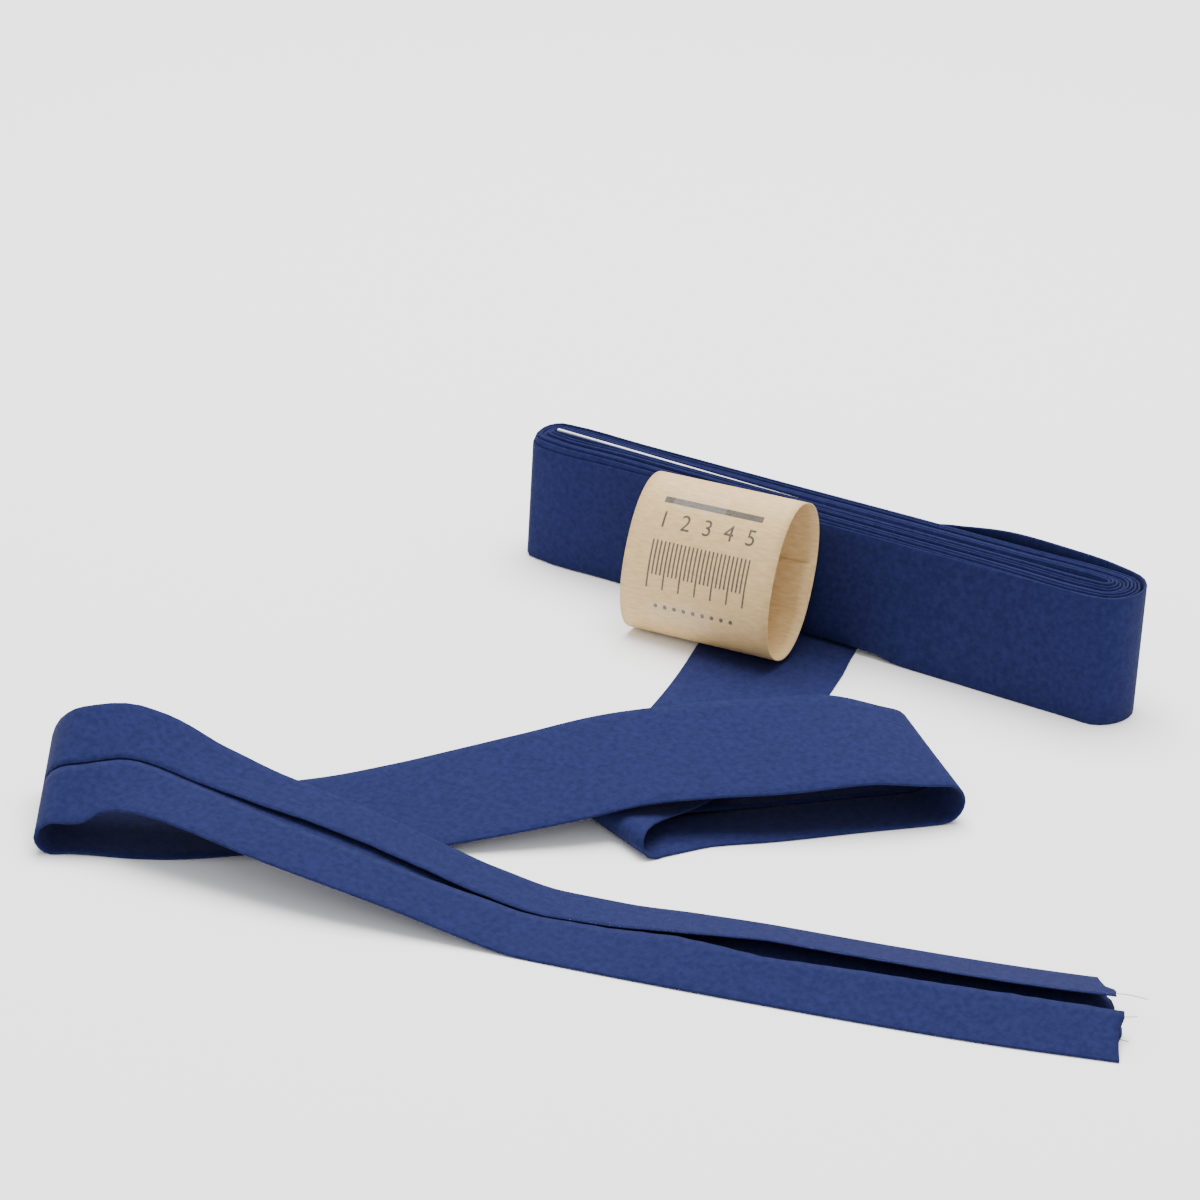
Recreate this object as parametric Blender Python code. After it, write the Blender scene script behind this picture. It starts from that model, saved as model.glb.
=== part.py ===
"""A card of bias tape: a flat-wound hank of folded cotton tape standing on its edge round its card,
its loose end drawn out over the table in two soft loops, and the paper band slipped off the hank.

Sizes are in millimetres and are turned into metres when a mesh is made. X runs along the hank,
Y from its front face to its back, Z up from the table.
"""
import math
from collections import namedtuple

import bmesh
import bpy
import numpy as np
from mathutils import Matrix, Vector

MM = 0.001
CLEAR = 0.35
HANK_CLEAR = 0.5
SHARP_ANGLE = math.radians(35)

# The tape: a strip with both edges folded in to meet along its middle.
TAPE_WIDTH = 25.0
LAYER = 0.7
LAYER_GAP = 0.3
TAPE_THICK = 2 * LAYER + LAYER_GAP
FOLD_ROUND = 0.35
CLOSED_SLIT = 0.5
STATION_STEP = 4.6
LAID_Z = TAPE_THICK / 2

# The hank: one spiral of tape round a card, a few thick turns standing for the many thin ones, wound
# looser at its right end. An end's turns are centred on core_x, begin at an angle in degrees, grow by
# pitch for each turn, and reach out along X by depth times their radius. The turns are counted in
# quarters: a run, the right end, a run, the left end.
End = namedtuple("End", ("core_x", "start", "pitch", "depth"))
RIGHT_END = End(55.05, -90, 1.78, 1.0)
LEFT_END = End(-61.65, 90, 1.43, 0.72)
HANK_Y = 2.5
WOUND_PLY = 1.1
CARD_THICK = 0.6
CARD_TOP_LEFT = 25.3
CARD_TOP_RIGHT = 23.8
CARD_FOOT = 0.5
CARD_SIDE_CLEAR = 0.4
CARD_END_CLEAR = 0.5
CARD_PAST_CORE = 0.3
QUARTERS = 4
WOUND_PARTS = 3 * QUARTERS + 1
ARC_STEPS = 8
END_SQUARENESS = 0.8
INNER_RADIUS = CARD_THICK / 2 + CARD_SIDE_CLEAR + WOUND_PLY / 2
OUTER_RADIUS = INNER_RADIUS + RIGHT_END.pitch * WOUND_PARTS / QUARTERS
LAST_TURN_RADIUS = INNER_RADIUS + RIGHT_END.pitch * (WOUND_PARTS - 3) / QUARTERS
EXIT_RADIUS = LAST_TURN_RADIUS + WOUND_PLY / 2 + HANK_CLEAR + TAPE_THICK / 2
EXIT_ANGLES = (-68, -42, -15, 15, 48)

# The relief in the hank's underside, where it stands on the loose end that crosses below it.
CROSSING_X = (-20.5, 12.0)
CROSSING_HEIGHT = TAPE_THICK + HANK_CLEAR
CROSSING_DEPTH = 6 * OUTER_RADIUS

# The paper band: an oval tube of stiff paper, leaning back on the hank's front face.
BAND_WIDTH = 31.4
BAND_HALF_TALL = 14.9
BAND_HALF_DEEP = 8.3
BAND_WALL = 0.9
BAND_LEAN = math.radians(21)
BAND_TURN = math.radians(0.5)
BAND_RISE = math.radians(3.0)
BAND_CENTRE = (-14.8, -15.2, 16.5)
BAND_STEPS = 40
BAND_SQUARENESS = 0.9

# Colours and finishes, as linear red, green and blue.
NAVY = (0.020, 0.030, 0.110)
KRAFT = (0.55, 0.38, 0.19)
CARD_WHITE = (0.70, 0.70, 0.72)

# The folds of the loose end, in the order the tape runs. A fold turns the tape over about a level
# axis; "across" is that axis, towards the near edge, "drift" how far the tape slips along it, and
# "bank" how many degrees its near edge has dipped by the end of the fold.
FOLDS = {
    "corner": {"x": 9.8, "y": -94.3, "across": -24, "low": LAID_Z, "high": 4.9,
               "reach": 2.3, "drift": 3.2, "outward": -90, "going": "down", "bank": 0},
    "right_loop": {"x": 46.0, "y": -51.5, "across": -39, "low": LAID_Z, "high": 9.9,
                   "reach": 4.7, "drift": 0.0, "outward": 90, "going": "up", "bank": -8},
    "left_loop": {"x": -61.5, "y": -149.5, "across": -59, "low": 0.96, "high": 11.9,
                  "reach": 5.4, "drift": 1.5, "outward": -90, "going": "up", "bank": -26},
}
FOLD_STEPS = 6

# The loose end between its folds: the middle of the tape, the level direction and the tilt of a
# line across it towards the near edge, its width, how far apart its folded-in edges lie, and how
# far they stand up, in degrees.
Row = namedtuple("Row", ("x", "y", "z", "across", "tilt", "width", "slit", "lift"))
LAID = {
    "leaving": (
        (53.5, 10.9, 12.5, -90, 90, 25.0, 0.5, 0),
        (43.0, 12.3, 12.5, -90, 90, 25.0, 0.5, 0),
        (33.0, 13.2, 12.7, -90, 86, 25.0, 0.5, 0),
        (21.5, 15.6, 12.35, -88, 70, 25.0, 0.5, 0),
        (11.0, 19.2, 11.2, -82, 52, 25.0, 0.5, 0),
        (2.6, 20.0, 8.6, -66, 33, 25.0, 0.5, 0),
        (-2.6, 17.1, 4.5, -32, 13, 25.0, 0.5, 0),
        (-4.8, 12.2, 0.95, -13, 0, 25.0, 0.5, 0),
    ),
    "under_hank": (
        (-5.4, 6.8, LAID_Z, -4, 0, 25.0, 0.5, 0),
        (-5.3, 0.4, LAID_Z, 4, 0, 26.0, 0.5, 0),
        (-4.4, -6.5, LAID_Z, 10, 0, 27.6, 0.5, 0),
        (-1.6, -17.5, LAID_Z, 12, 0, 28.4, 0.5, 0),
        (1.3, -28.5, LAID_Z, 12, 0, 28.0, 0.5, 0),
        (5.4, -50.0, LAID_Z, 11, 0, 26.4, 0.5, 0),
        (7.8, -70.0, 1.9, 2, 0, 25.5, 0.5, 0),
        (9.2, -84.0, 3.9, -13, 0, 25.0, 0.5, 0),
    ),
    "to_right_loop": (
        (18.6, -83.6, LAID_Z, -28, 0, 25.0, 0.5, 0),
        (27.6, -73.6, LAID_Z, -38, 0, 25.0, 0.5, 0),
        (37.6, -61.4, LAID_Z, -44, 0, 25.0, 0.5, 0),
    ),
    "back_over": (
        (36.4, -60.4, 11.8, -43, -10, 27.0, 0.5, 0),
        (28.0, -68.8, 11.3, -44, -11, 27.2, 0.5, 0),
        (17.8, -76.8, 10.3, -44, -10, 27.4, 0.5, 0),
        (8.4, -85.2, 9.2, -42, -9, 27.4, 0.5, 0),
        (-1.5, -96.9, 7.0, -40, -8, 27.4, 0.5, 0),
        (-10.0, -105.9, 5.0, -40, -6.5, 27.4, 0.5, 0),
        (-17.6, -113.9, 3.4, -40, -5, 27.2, 0.5, 0),
        (-26.5, -122.1, 2.1, -43, -2.5, 26.8, 0.5, 0),
        (-38.2, -131.0, 1.2, -48, 0, 25.6, 0.5, 0),
        (-50.0, -142.0, LAID_Z, -56, 0, 25.0, 0.5, 0),
    ),
    "tail": (
        (-54.0, -144.9, 12.9, -74, -19, 25.0, 0.5, 0),
        (-42.8, -143.0, 11.5, -84, -6, 25.0, 0.8, 0),
        (-32.0, -142.2, 10.0, -86, -3, 25.0, 1.8, 2),
        (-21.2, -141.4, 8.8, -83, -3.5, 25.0, 3.0, 4),
        (-11.0, -139.9, 7.3, -78, -3, 25.0, 3.2, 4),
        (0.4, -137.4, 4.8, -75, -1, 25.0, 2.4, 4),
        (9.6, -135.2, 2.6, -75, 0, 25.0, 0.8, 5),
        (21.4, -132.6, LAID_Z, -75, 0, 25.0, 0.5, 6),
        (32.0, -130.0, LAID_Z, -74, 0, 25.0, 0.5, 8),
        (43.6, -127.0, 1.2, -74, -1.5, 25.0, 0.8, 12),
        (57.4, -123.2, 1.4, -74, -2.5, 25.0, 4.6, 15),
        (75.6, -118.0, 1.4, -73, -2.5, 25.0, 3.2, 16),
        (96.2, -111.4, 1.4, -70, -2.5, 25.0, 2.6, 16),
        (113.0, -105.0, 1.4, -66, -2.5, 25.0, 3.4, 16),
    ),
}

# The jagged cut end: where each point is across the tape, from the near edge, and how far it lies
# back from the tip, along the tape.
CUT_POINTS = ((-1.5, 1.2), (1.5, 1.6), (4.6, 3.4), (8.2, 0.3), (12.2, 2.4), (14.0, 1.5), (16.6, 4.3),
              (20.4, 5.6), (23.0, 4.4), (27.5, 3.2))
CUT_HEIGHT = 12.0
CUT_BELOW = 1.0
CUT_LENGTH = 14.0


def clear_scene():
    for item in list(bpy.data.objects):
        bpy.data.objects.remove(item, do_unlink=True)


def material(name, colour, roughness):
    made = bpy.data.materials.new(name)
    made.use_nodes = True
    shader = made.node_tree.nodes["Principled BSDF"]
    shader.inputs["Base Color"].default_value = (*colour, 1.0)
    shader.inputs["Roughness"].default_value = roughness
    shader.inputs["Metallic"].default_value = 0.0
    return made


def add_object(name, bm, finish, parent):
    """Turn a bmesh in millimetres into an object in metres, with its faces pointing out."""
    bmesh.ops.recalc_face_normals(bm, faces=bm.faces)
    bmesh.ops.scale(bm, vec=(MM, MM, MM), verts=bm.verts)
    mesh = bpy.data.meshes.new(name)
    bm.to_mesh(mesh)
    bm.free()
    if finish:
        mesh.materials.append(finish)
    mesh.shade_smooth()
    mesh.set_sharp_from_angle(angle=SHARP_ANGLE)
    made = bpy.data.objects.new(name, mesh)
    made.parent = parent
    bpy.context.collection.objects.link(made)
    return made


def loft(rings):
    """Join equal rings of points into one closed tube with flat ends."""
    bm = bmesh.new()
    loops = [[bm.verts.new(point) for point in ring] for ring in rings]
    count = len(loops[0])
    for near, far in zip(loops, loops[1:]):
        for i in range(count):
            j = (i + 1) % count
            bm.faces.new((near[i], near[j], far[j], far[i]))
    bm.faces.new(loops[0])
    bm.faces.new(loops[-1])
    return bm


def direction(across, tilt):
    level = math.cos(math.radians(tilt))
    return np.array([level * math.cos(math.radians(across)), level * math.sin(math.radians(across)),
                     math.sin(math.radians(tilt))])


def fold_rows(fold):
    """Rows round one fold: the tape turns through half a turn about the fold's level axis."""
    axis = direction(fold["across"], 0)
    outward = direction(fold["across"] + fold["outward"], 0)
    middle = (fold["high"] + fold["low"]) / 2
    half = (fold["high"] - fold["low"]) / 2
    sign = 1 if fold["going"] == "down" else -1
    rows = []
    for step in range(FOLD_STEPS + 1):
        turn = math.pi * step / FOLD_STEPS
        place = (np.array([fold["x"], fold["y"], middle])
                 + outward * fold["reach"] * math.sin(turn)
                 + axis * fold["drift"] * (step / FOLD_STEPS - 0.5))
        place[2] += sign * half * math.cos(turn)
        bank = fold["bank"] * step / FOLD_STEPS
        rows.append((*place, fold["across"], bank, TAPE_WIDTH, CLOSED_SLIT, 0))
    return rows


def leaving_rows():
    """Rows round the hank's right end, where the loose end parts from the outer turn."""
    rows = []
    for degrees in EXIT_ANGLES:
        angle = math.radians(degrees)
        out_x = math.cos(angle) ** END_SQUARENESS
        rows.append((RIGHT_END.core_x + EXIT_RADIUS * out_x, HANK_Y + EXIT_RADIUS * math.sin(angle),
                     TAPE_WIDTH / 2, 0, 90, TAPE_WIDTH, CLOSED_SLIT, 0))
    return rows


def loose_end_rows():
    """All the rows of the loose end, from the hank to the cut end."""
    rows = leaving_rows() + list(LAID["leaving"]) + list(LAID["under_hank"])
    rows += fold_rows(FOLDS["corner"]) + list(LAID["to_right_loop"])
    rows += fold_rows(FOLDS["right_loop"]) + list(LAID["back_over"])
    rows += fold_rows(FOLDS["left_loop"]) + list(LAID["tail"])
    return [Row(*row) for row in rows]


def level_slope(height, chord):
    """Slopes that keep a curve between its rows, so laid tape never dips below the table."""
    rise = np.diff(height) / chord
    product = rise[:-1] * rise[1:]
    total = rise[:-1] + rise[1:]
    inner = np.where(product > 0, 2 * product / np.where(product > 0, total, 1.0), 0.0)
    return np.concatenate([[0.0], inner, [0.0]])


def smooth_path(rows):
    """Stations along a smooth curve through the rows: middle, across, along, width, slit, lift."""
    table = np.array(rows, float)
    middle = table[:, :3]
    lines_across = np.array([direction(row.across, row.tilt) for row in rows])
    shape = np.hstack([middle, lines_across])
    chord = np.linalg.norm(np.diff(middle, axis=0), axis=1)
    knot = np.concatenate([[0], np.cumsum(chord)])
    slope = np.gradient(shape, knot, axis=0)
    for upward in (2, 5):
        slope[:, upward] = level_slope(shape[:, upward], chord)
    stations = []
    for i, length in enumerate(chord):
        steps = max(1, math.ceil(length / STATION_STEP))
        for step in range(steps + (i == len(chord) - 1)):
            t = step / steps
            blend = ((2 * t**3 - 3 * t**2 + 1), (t**3 - 2 * t**2 + t), (3 * t**2 - 2 * t**3), (t**3 - t**2))
            rate = ((6 * t**2 - 6 * t), (3 * t**2 - 4 * t + 1), (6 * t - 6 * t**2), (3 * t**2 - 2 * t))
            ends = (shape[i], slope[i] * length, shape[i + 1], slope[i + 1] * length)
            point = sum(weight * end for weight, end in zip(blend, ends))
            along = sum(weight * end for weight, end in zip(rate, ends))[:3]
            flat = table[i, 5:] + (table[i + 1, 5:] - table[i, 5:]) * t
            across = point[3:] / np.linalg.norm(point[3:])
            stations.append((point[:3], across, along / np.linalg.norm(along), *flat))
    return stations


def tape_section(width, slit, lift):
    """The folded tape cut across: (across, up from the middle) points, plain side up."""
    half, top = width / 2, TAPE_THICK / 2
    reach = half - FOLD_ROUND - slit / 2
    tilt = math.radians(lift)
    points = []
    for side in (1, -1):
        hinge = np.array([side * (half - FOLD_ROUND), -top])
        free = hinge + reach * np.array([-side * math.cos(tilt), -math.sin(tilt)])
        inner = free + LAYER * np.array([-side * math.sin(tilt), math.cos(tilt)])
        edge = [(side * (half - FOLD_ROUND), top), (side * half, top - FOLD_ROUND),
                (side * half, -top + FOLD_ROUND), tuple(hinge), tuple(free), tuple(inner),
                (side * (half - LAYER), -top + LAYER), (side * (half - LAYER), top - LAYER)]
        points += edge if side == 1 else edge[::-1]
    return points


def make_loose_end(finish, parent):
    rings = []
    for middle, across, along, width, slit, lift in smooth_path(loose_end_rows()):
        up = np.cross(along, across)
        stretch = 1 / np.linalg.norm(up)
        up = up * stretch
        section = tape_section(width, slit, lift)
        rings.append([tuple(middle + across * u * stretch + up * v) for u, v in section])
    strip = add_object("loose_end", loft(rings), finish, parent)
    cutter = make_cutter(loose_end_rows()[-1], parent)
    cut = strip.modifiers.new("jagged cut", "BOOLEAN")
    cut.operation = "DIFFERENCE"
    cut.solver = "EXACT"
    cut.object = cutter
    return strip


def make_cutter(tip, parent):
    """A jagged block that trims the tape's free end as scissors left it."""
    across = direction(tip.across, 0)
    along = direction(tip.across + 90, 0)
    near = np.array([tip.x, tip.y, -CUT_BELOW]) + across * tip.width / 2
    cut = [near - across * place - along * back for place, back in CUT_POINTS]
    outer = [cut[-1] + along * CUT_LENGTH, cut[0] + along * CUT_LENGTH]
    base = cut + outer
    height = np.array([0, 0, CUT_HEIGHT])
    rings = [[tuple(point) for point in base], [tuple(point + height) for point in base]]
    cutter = add_object("cut_guide", loft(rings), None, parent)
    cutter.hide_render = True
    cutter.display_type = "WIRE"
    return cutter


def wound_line():
    """The middle line of the wound tape, innermost turn first: the x and y of the centre that each
    point turns about, its outward x and y, and its radius."""
    line = []
    arcs = {1: RIGHT_END, 3: LEFT_END}
    for part in range(WOUND_PARTS + 1):
        if part % QUARTERS not in arcs:
            continue
        end = arcs[part % QUARTERS]
        steps = 0 if part == WOUND_PARTS else ARC_STEPS
        for step in range(steps + 1):
            turn = math.radians(end.start + 180 * step / ARC_STEPS)
            radius = INNER_RADIUS + end.pitch * (part + step / ARC_STEPS) / QUARTERS
            out_x = end.depth * math.copysign(abs(math.cos(turn)) ** END_SQUARENESS, math.cos(turn))
            line.append((end.core_x, HANK_Y, out_x, math.sin(turn), radius))
    first = (LEFT_END.core_x, HANK_Y, 0.0, -1.0, INNER_RADIUS)
    return [first] + line


def make_hank(finish, parent):
    rings = []
    for x, y, out_x, out_y, radius in wound_line():
        inner, outer = radius - WOUND_PLY / 2, radius + WOUND_PLY / 2
        rings.append([(x + out_x * r, y + out_y * r, z) for r, z in
                      ((inner, 0.0), (outer, 0.0), (outer, TAPE_WIDTH), (inner, TAPE_WIDTH))])
    hank = add_object("wound_hank", loft(rings), finish, parent)
    bm = bmesh.new()
    bmesh.ops.create_cube(bm, size=1.0)
    size = (CROSSING_X[1] - CROSSING_X[0], CROSSING_DEPTH, 2 * CROSSING_HEIGHT)
    bmesh.ops.scale(bm, vec=size, verts=bm.verts)
    bmesh.ops.translate(bm, vec=(sum(CROSSING_X) / 2, HANK_Y, 0), verts=bm.verts)
    cutter = add_object("crossing_guide", bm, None, parent)
    cutter.hide_render = True
    cutter.display_type = "WIRE"
    cut = hank.modifiers.new("crossing relief", "BOOLEAN")
    cut.operation = "DIFFERENCE"
    cut.solver = "EXACT"
    cut.object = cutter
    return hank


def make_card(finish, parent):
    """The stiff card inside the winding, a little proud at its left end."""
    left, right = LEFT_END.core_x - CARD_PAST_CORE, RIGHT_END.core_x - CARD_END_CLEAR
    low_y, high_y = HANK_Y - CARD_THICK / 2, HANK_Y + CARD_THICK / 2
    foot = CROSSING_HEIGHT + CARD_FOOT
    rings = [[(left, y, foot), (right, y, foot), (right, y, CARD_TOP_RIGHT), (left, y, CARD_TOP_LEFT)]
             for y in (low_y, high_y)]
    return add_object("card", loft(rings), finish, parent)


def make_band(finish, parent):
    """The oval paper tube, leaning back, with its right end lifted by the tape it stands on."""
    def oval(half_tall, half_deep, x):
        ring = []
        for step in range(BAND_STEPS):
            turn = 2 * math.pi * step / BAND_STEPS
            deep = math.copysign(abs(math.cos(turn)) ** BAND_SQUARENESS, math.cos(turn)) * half_deep
            tall = math.copysign(abs(math.sin(turn)) ** BAND_SQUARENESS, math.sin(turn)) * half_tall
            ring.append(Vector((x, deep, tall)))
        return ring

    place = (Matrix.Translation(BAND_CENTRE) @ Matrix.Rotation(BAND_TURN, 4, "Z")
             @ Matrix.Rotation(-BAND_RISE, 4, "Y") @ Matrix.Rotation(-BAND_LEAN, 4, "X"))
    bm = bmesh.new()
    walls = []
    for shrink, ends in ((0.0, (-1, 1)), (BAND_WALL, (1, -1))):
        for end in ends:
            ring = oval(BAND_HALF_TALL - shrink, BAND_HALF_DEEP - shrink, end * BAND_WIDTH / 2)
            walls.append([bm.verts.new(place @ point) for point in ring])
    for near, far in zip(walls, walls[1:] + walls[:1]):
        for i in range(BAND_STEPS):
            j = (i + 1) % BAND_STEPS
            bm.faces.new((near[i], near[j], far[j], far[i]))
    return add_object("paper_band", bm, finish, parent)


def centre_on_table(parts, root):
    """Move the whole part so that its box is centred on the origin and stands on Z = 0."""
    bpy.context.view_layer.update()
    graph = bpy.context.evaluated_depsgraph_get()
    points = []
    for item in parts:
        vertices = item.evaluated_get(graph).data.vertices
        points += [tuple(item.matrix_world @ vertex.co) for vertex in vertices]
    points = np.array(points)
    low, high = points.min(axis=0), points.max(axis=0)
    root.location = (-(low[0] + high[0]) / 2, -(low[1] + high[1]) / 2, -low[2])


def main():
    clear_scene()
    root = bpy.data.objects.new("bias_tape", None)
    bpy.context.collection.objects.link(root)
    tape = material("navy_cotton", NAVY, 0.85)
    parts = [
        make_hank(tape, root),
        make_loose_end(tape, root),
        make_card(material("white_card", CARD_WHITE, 0.45), root),
        make_band(material("kraft_paper", KRAFT, 0.7), root),
    ]
    centre_on_table(parts, root)


main()
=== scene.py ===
"""The looks of a card of bias tape: the tape as one thin folded strip, wound on its card and laid out
over the table, the card, and the paper band with plain generic marks.

Lengths in the tables are in millimetres in the part's own frame, where X runs along the hank, Y from
its front face to its back and Z up from the table. They become metres when a mesh is made.
"""
import math
import random
from collections import namedtuple

import bmesh
import bpy
import numpy as np
from mathutils import Matrix, Vector


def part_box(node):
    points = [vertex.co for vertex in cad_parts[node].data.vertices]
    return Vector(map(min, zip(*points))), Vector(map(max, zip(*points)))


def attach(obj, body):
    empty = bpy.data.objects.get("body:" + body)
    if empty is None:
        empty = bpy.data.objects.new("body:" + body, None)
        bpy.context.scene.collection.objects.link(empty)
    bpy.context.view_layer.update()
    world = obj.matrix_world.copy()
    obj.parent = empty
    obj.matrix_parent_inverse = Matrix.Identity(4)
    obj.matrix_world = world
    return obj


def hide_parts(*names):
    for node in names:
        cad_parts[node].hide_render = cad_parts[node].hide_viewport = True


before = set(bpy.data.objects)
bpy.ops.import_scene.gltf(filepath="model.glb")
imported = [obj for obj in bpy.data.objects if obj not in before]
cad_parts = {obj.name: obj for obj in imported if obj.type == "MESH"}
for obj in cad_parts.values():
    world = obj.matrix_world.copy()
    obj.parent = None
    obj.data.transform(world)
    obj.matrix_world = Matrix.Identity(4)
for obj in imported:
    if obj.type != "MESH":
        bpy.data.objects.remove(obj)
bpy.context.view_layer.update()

bl_info = {
    "name": "Bias tape looks",
    "version": (1, 0, 0),
    "blender": (4, 5, 0),
    "location": "3D View > Sidebar > Bias tape",
    "description": "Builds the wound and laid-out bias tape, its paper band and a plain stage",
    "category": "Object",
}

MM = 0.001

# The folded tape. A fold's two layers lie a small distance apart, less so where it is wound tight.
TAPE_WIDTH = 25.0
SOLID_LAID_Z = 0.85
LAID_APART = 0.34
WOUND_APART = 0.21
FLAP_SEGMENTS = 8
FOLD_SEGMENTS = 3
BASE_SEGMENTS = 12
STATION_STEP = 2.2
LAID_SLIT = 0.5
SLIT_FRAY = 0.09

# The winding: turns of tape round the card, in groups that stand a little apart, looser at the right
# end. An end's turns are centred on core_x, grow by pitch for each turn, and reach out along X by
# depth times their radius. A group's top edges stand drop below the tape's full width.
End = namedtuple("End", ("core_x", "start", "pitch", "depth"))
RIGHT_END = End(55.05, -90, 0.597, 1.0)
LEFT_END = End(-61.65, 90, 0.452, 0.72)
CARD_MIDDLE = (-3.7, 2.5)
WINDING_Y = 2.2
WOUND_TURNS = 9
FIRST_RADIUS = 0.85
GROUP_GAP = 0.17
GROUP_OF_TURN = (0, 0, 1, 1, 2, 2, 3, 3, 4, 4)
GROUP_DROP = (-0.25, 0.1, 0.4, 0.15, 0.5)
LAST_TURN_DROP = 1.3
RUN_BULGE = 0.12
END_SQUARENESS = 0.8
RUN_ROWS = 7
ARC_ROWS = 8
EXIT_RADIUS = 7.6
EXIT_ANGLES = (-68, -42, -15, 15, 48)
CROSSING_X = (-20.5, 12.0)
CROSSING_RISE = 1.1
CROSSING_SHOULDER = 7.0

Row = namedtuple("Row", ("x", "y", "z", "across", "tilt", "width", "slit", "lift"))
Station = namedtuple("Station", ("point", "across", "along", "width", "slit", "lift", "apart", "wound"))

# The folds of the loose end, in the order the tape runs. A fold turns the tape over about a level
# axis; "across" is that axis, towards the near edge, and "drift" how far the tape slips along it.
FOLDS = {
    "corner": {"x": 9.8, "y": -94.3, "across": -24, "low": SOLID_LAID_Z, "high": 4.9,
               "reach": 2.3, "drift": 3.2, "outward": -90, "going": "down", "bank": 0},
    "right_loop": {"x": 46.0, "y": -51.5, "across": -39, "low": SOLID_LAID_Z, "high": 9.9,
                   "reach": 4.7, "drift": 0.0, "outward": 90, "going": "up", "bank": -8},
    "left_loop": {"x": -61.5, "y": -149.5, "across": -59, "low": 0.96, "high": 11.9,
                  "reach": 5.4, "drift": 1.5, "outward": -90, "going": "up", "bank": -26},
}
FOLD_STEPS = 6

# The loose end between its folds: the middle of the tape, the level direction and the tilt of a
# line across it towards the near edge, its width, how far apart its folded-in edges lie, and how
# far they stand up, in degrees.
LAID = {
    "leaving": (
        (53.5, 10.9, 12.5, -90, 90, 25.0, 0.5, 0),
        (43.0, 12.3, 12.5, -90, 90, 25.0, 0.5, 0),
        (33.0, 13.2, 12.7, -90, 86, 25.0, 0.5, 0),
        (21.5, 15.6, 12.35, -88, 70, 25.0, 0.5, 0),
        (11.0, 19.2, 11.2, -82, 52, 25.0, 0.5, 0),
        (2.6, 20.0, 8.6, -66, 33, 25.0, 0.5, 0),
        (-2.6, 17.1, 4.5, -32, 13, 25.0, 0.5, 0),
        (-4.8, 12.2, 0.95, -13, 0, 25.0, 0.5, 0),
    ),
    "under_hank": (
        (-5.4, 6.8, SOLID_LAID_Z, -4, 0, 25.0, 0.5, 0),
        (-5.3, 0.4, SOLID_LAID_Z, 4, 0, 26.0, 0.5, 0),
        (-4.4, -6.5, SOLID_LAID_Z, 10, 0, 27.6, 0.5, 0),
        (-1.6, -17.5, SOLID_LAID_Z, 12, 0, 28.4, 0.5, 0),
        (1.3, -28.5, SOLID_LAID_Z, 12, 0, 28.0, 0.5, 0),
        (5.4, -50.0, SOLID_LAID_Z, 11, 0, 26.4, 0.5, 0),
        (7.8, -70.0, 1.9, 2, 0, 25.5, 0.5, 0),
        (9.2, -84.0, 3.9, -13, 0, 25.0, 0.5, 0),
    ),
    "to_right_loop": (
        (18.6, -83.6, SOLID_LAID_Z, -28, 0, 25.0, 0.5, 0),
        (27.6, -73.6, SOLID_LAID_Z, -38, 0, 25.0, 0.5, 0),
        (37.6, -61.4, SOLID_LAID_Z, -44, 0, 25.0, 0.5, 0),
    ),
    "back_over": (
        (36.4, -60.4, 11.8, -43, -10, 27.0, 0.5, 0),
        (28.0, -68.8, 11.3, -44, -11, 27.2, 0.5, 0),
        (17.8, -76.8, 10.3, -44, -10, 27.4, 0.5, 0),
        (8.4, -85.2, 9.2, -42, -9, 27.4, 0.5, 0),
        (-1.5, -96.9, 7.0, -40, -8, 27.4, 0.5, 0),
        (-10.0, -105.9, 5.0, -40, -6.5, 27.4, 0.5, 0),
        (-17.6, -113.9, 3.4, -40, -5, 27.2, 0.5, 0),
        (-26.5, -122.1, 2.1, -43, -2.5, 26.8, 0.5, 0),
        (-38.2, -131.0, 1.2, -48, 0, 25.6, 0.5, 0),
        (-50.0, -142.0, SOLID_LAID_Z, -56, 0, 25.0, 0.5, 0),
    ),
    "tail": (
        (-54.0, -144.9, 12.9, -74, -19, 25.0, 0.5, 0),
        (-42.8, -143.0, 11.5, -84, -6, 25.0, 0.8, 0),
        (-32.0, -142.2, 10.0, -86, -3, 25.0, 1.8, 2),
        (-21.2, -141.4, 8.8, -83, -3.5, 25.0, 3.0, 4),
        (-11.0, -139.9, 7.3, -78, -3, 25.0, 3.2, 4),
        (0.4, -137.4, 4.8, -75, -1, 25.0, 2.4, 4),
        (9.6, -135.2, 2.6, -75, 0, 25.0, 0.8, 5),
        (21.4, -132.6, SOLID_LAID_Z, -75, 0, 25.0, 0.5, 6),
        (32.0, -130.0, SOLID_LAID_Z, -74, 0, 25.0, 0.5, 8),
        (43.6, -127.0, 1.2, -74, -1.5, 25.0, 0.8, 12),
        (57.4, -123.2, 1.4, -74, -2.5, 25.0, 4.6, 15),
        (75.6, -118.0, 1.4, -73, -2.5, 25.0, 3.2, 16),
        (96.2, -111.4, 1.4, -70, -2.5, 25.0, 2.6, 16),
        (113.0, -105.0, 1.4, -66, -2.5, 25.0, 3.4, 16),
    ),
}

# The jagged cut end: where each point is across the tape, from the near edge, and how far it lies
# back from the tip, along the tape.
CUT_POINTS = ((-1.5, 0.3), (2.3, 0.7), (5.9, 0.9), (9.6, 0.0), (12.5, 1.1), (15.4, 1.8), (18.2, 1.6),
              (19.5, 3.4), (23.0, 4.4), (27.5, 5.2))
CUT_STATIONS = 5

# Loose threads at the cut end: how far across the tape, how high, how long, and how far each bends.
THREADS = ((-4.5, 3.3, 5.0, 0.9), (3.0, 3.3, 1.8, -0.5), (8.0, 1.8, 1.6, 0.4))

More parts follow.
